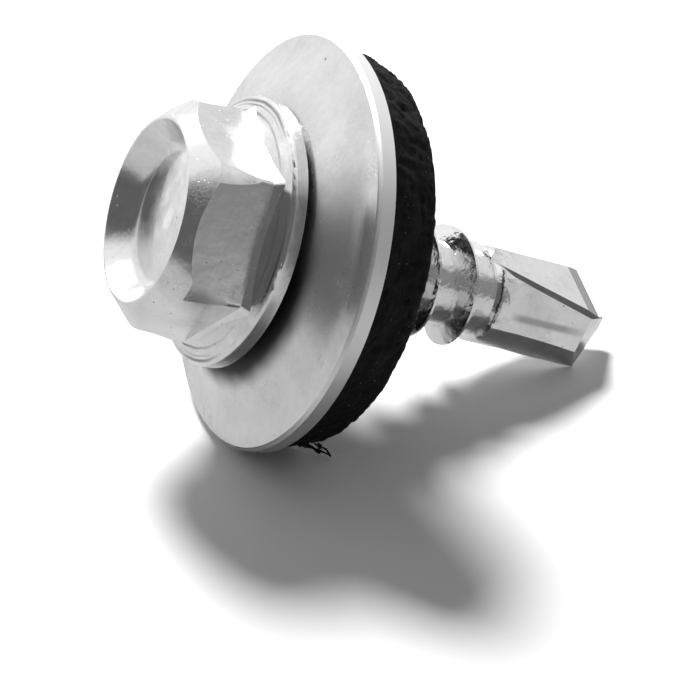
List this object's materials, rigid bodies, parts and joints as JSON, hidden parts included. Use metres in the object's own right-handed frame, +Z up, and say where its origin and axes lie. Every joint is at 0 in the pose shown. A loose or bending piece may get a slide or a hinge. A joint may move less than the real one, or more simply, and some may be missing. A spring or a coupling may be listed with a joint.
{
  "type": "self drilling screw",
  "caption": "Self-drilling roofing screw with a dished hex washer head, a loose domed sealing washer with a rubber pad, a short coarse thread and a fluted drill point, lying on its side.",
  "frame": {"origin": "centre of the bounding box on the floor that the screw lies on", "axes": "+Z up from the floor; the screw's axis lies in the XZ plane, dipping towards its tip at +X; the head is at -X"},
  "size_m": [0.0216, 0.016, 0.0152],
  "materials": {
    "screw_steel": "bright zinc plating",
    "washer_steel": "dull zinc coated sheet",
    "rubber": "matt black, rough cut edge"
  },
  "bodies": {
    "screw_body": {"screw": "screw_steel"},
    "sealing_washer": {"washer_plate": "washer_steel", "rubber_seal": "rubber"}
  },
  "joints": [
    {"name": "washer_spin", "type": "hinge", "parent": "screw_body", "child": "sealing_washer", "pos_m": [-0.0047, 0, 0.00781], "axis": [0.9337, 0, -0.3581], "continuous": true}
  ]
}
